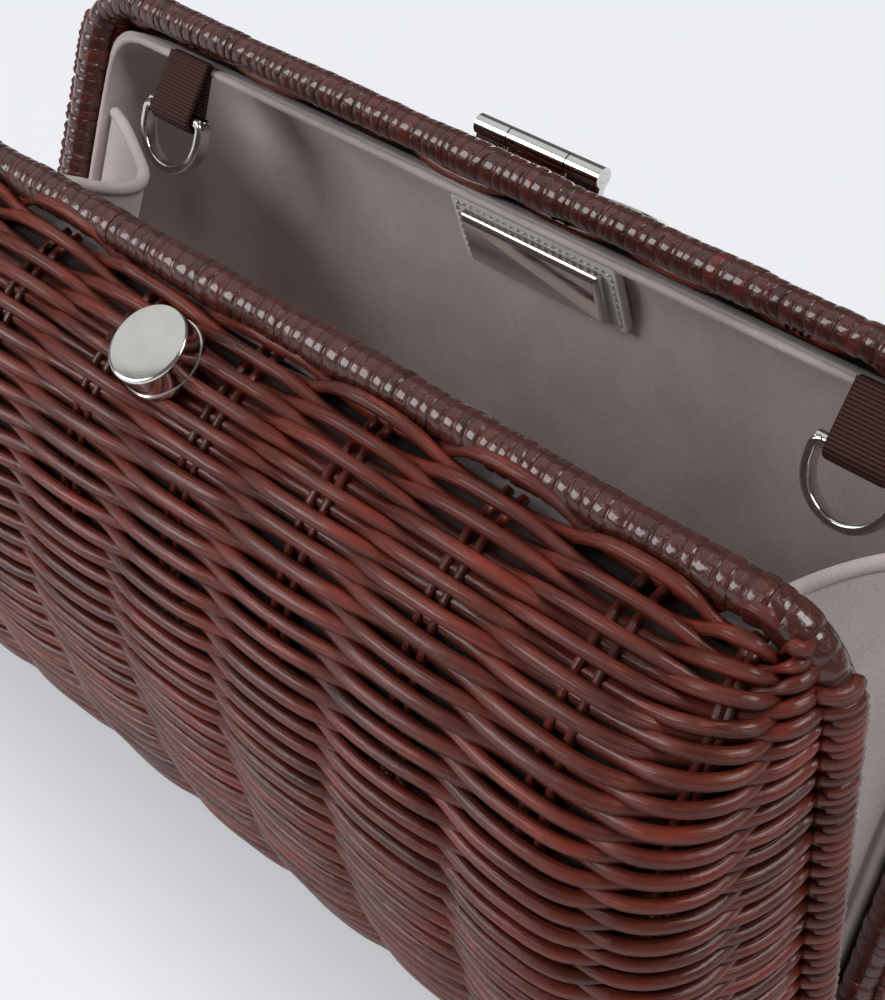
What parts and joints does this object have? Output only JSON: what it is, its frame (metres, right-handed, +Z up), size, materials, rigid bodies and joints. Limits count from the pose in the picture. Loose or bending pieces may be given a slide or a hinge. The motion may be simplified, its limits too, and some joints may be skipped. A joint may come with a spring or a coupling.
{
  "type": "clutch bag",
  "caption": "Clamshell wicker clutch bag: woven cane half shells hinged along the bottom, suede lining and gussets, strap rings, and a hasp that goes over a front knob.",
  "frame": {"origin": "middle of the bag's bounding box, on the floor it stands on", "axes": "+X along the bag's length, +Y towards the back half, +Z up"},
  "size_m": [0.2076, 0.1195, 0.1119],
  "materials": {
    "woven_cane": "dark red-brown round cane, glossy lacquer",
    "wrapped_cane": "dark red-brown split cane wrap, glossy lacquer",
    "suede": "warm grey suede",
    "grosgrain": "dark brown ribbed ribbon",
    "polished_nickel": "polished nickel"
  },
  "bodies": {
    "back_half": {"back_wicker": "woven_cane", "back_rim": "wrapped_cane", "back_lining": "suede", "left_tab": "grosgrain", "right_tab": "grosgrain", "label_patch": "suede", "label_plate": "polished_nickel", "hasp_plate": "polished_nickel", "hasp_rivets": "polished_nickel", "hasp_pin": "polished_nickel", "left_gusset": "suede", "right_gusset": "suede"},
    "front_half": {"front_wicker": "woven_cane", "front_rim": "wrapped_cane", "front_lining": "suede", "knob": "polished_nickel", "knob_screw": "polished_nickel", "hinge_bindings": "wrapped_cane"},
    "hasp": {"hasp_arm": "polished_nickel"},
    "left_ring": {"left_d_ring": "polished_nickel"},
    "right_ring": {"right_d_ring": "polished_nickel"}
  },
  "joints": [
    {"name": "half_hinge", "type": "hinge", "parent": "back_half", "child": "front_half", "pos_m": [0, -0.00773, 0.0083], "axis": [1, 0, 0], "range_deg": [-27.4, 0], "deforming": ["left_gusset", "right_gusset"]},
    {"name": "hasp_hinge", "type": "hinge", "parent": "back_half", "child": "hasp", "pos_m": [0, 0.02906, 0.10906], "axis": [1, 0, 0], "range_deg": [0, 215]},
    {"name": "left_ring_swing", "type": "hinge", "parent": "back_half", "child": "left_ring", "pos_m": [-0.0727, 0.01469, 0.0942], "axis": [1, 0, 0], "range_deg": [-80, 80]},
    {"name": "right_ring_swing", "type": "hinge", "parent": "back_half", "child": "right_ring", "pos_m": [0.0727, 0.01469, 0.0942], "axis": [1, 0, 0], "range_deg": [-80, 80]}
  ]
}
